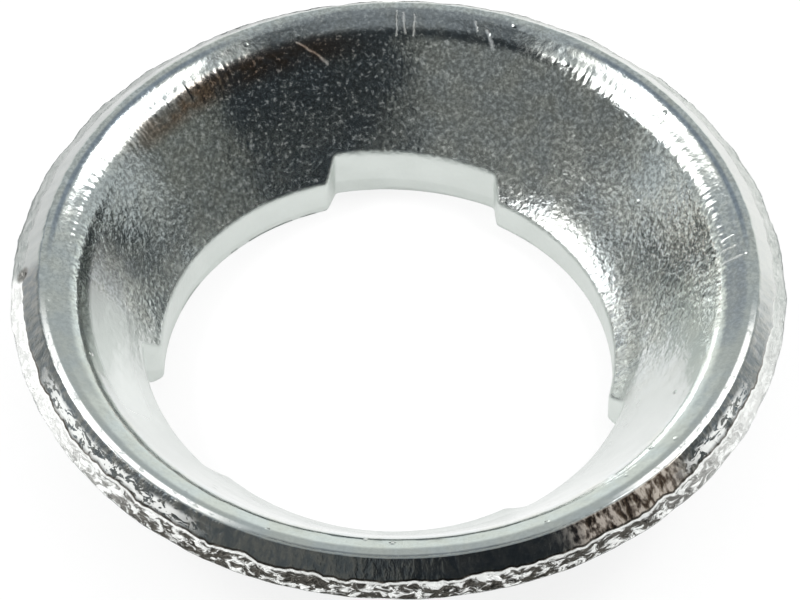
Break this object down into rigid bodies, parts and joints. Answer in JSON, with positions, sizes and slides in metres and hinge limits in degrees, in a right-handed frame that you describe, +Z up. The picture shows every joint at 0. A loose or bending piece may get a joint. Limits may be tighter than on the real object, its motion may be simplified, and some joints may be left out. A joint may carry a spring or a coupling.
{
  "type": "cup washer",
  "caption": "Dished pressed-steel cup washer with a flared rim and a notched centre hole for a shaft.",
  "frame": {"origin": "middle of the washer's foot plane, on the axis of the cup", "axes": "+Z up the axis of the cup, from the foot to the flared rim; the hole is punched 0.32 mm off the axis, towards -X; +Y points to the notch at the back"},
  "size_m": [0.024, 0.024, 0.0052],
  "materials": {
    "bright_plating": "bright zinc plating over pressed and sheared steel, mirror-like with a fine orange peel"
  },
  "bodies": {
    "root": {"cup_washer": "bright_plating"}
  },
  "joints": []
}
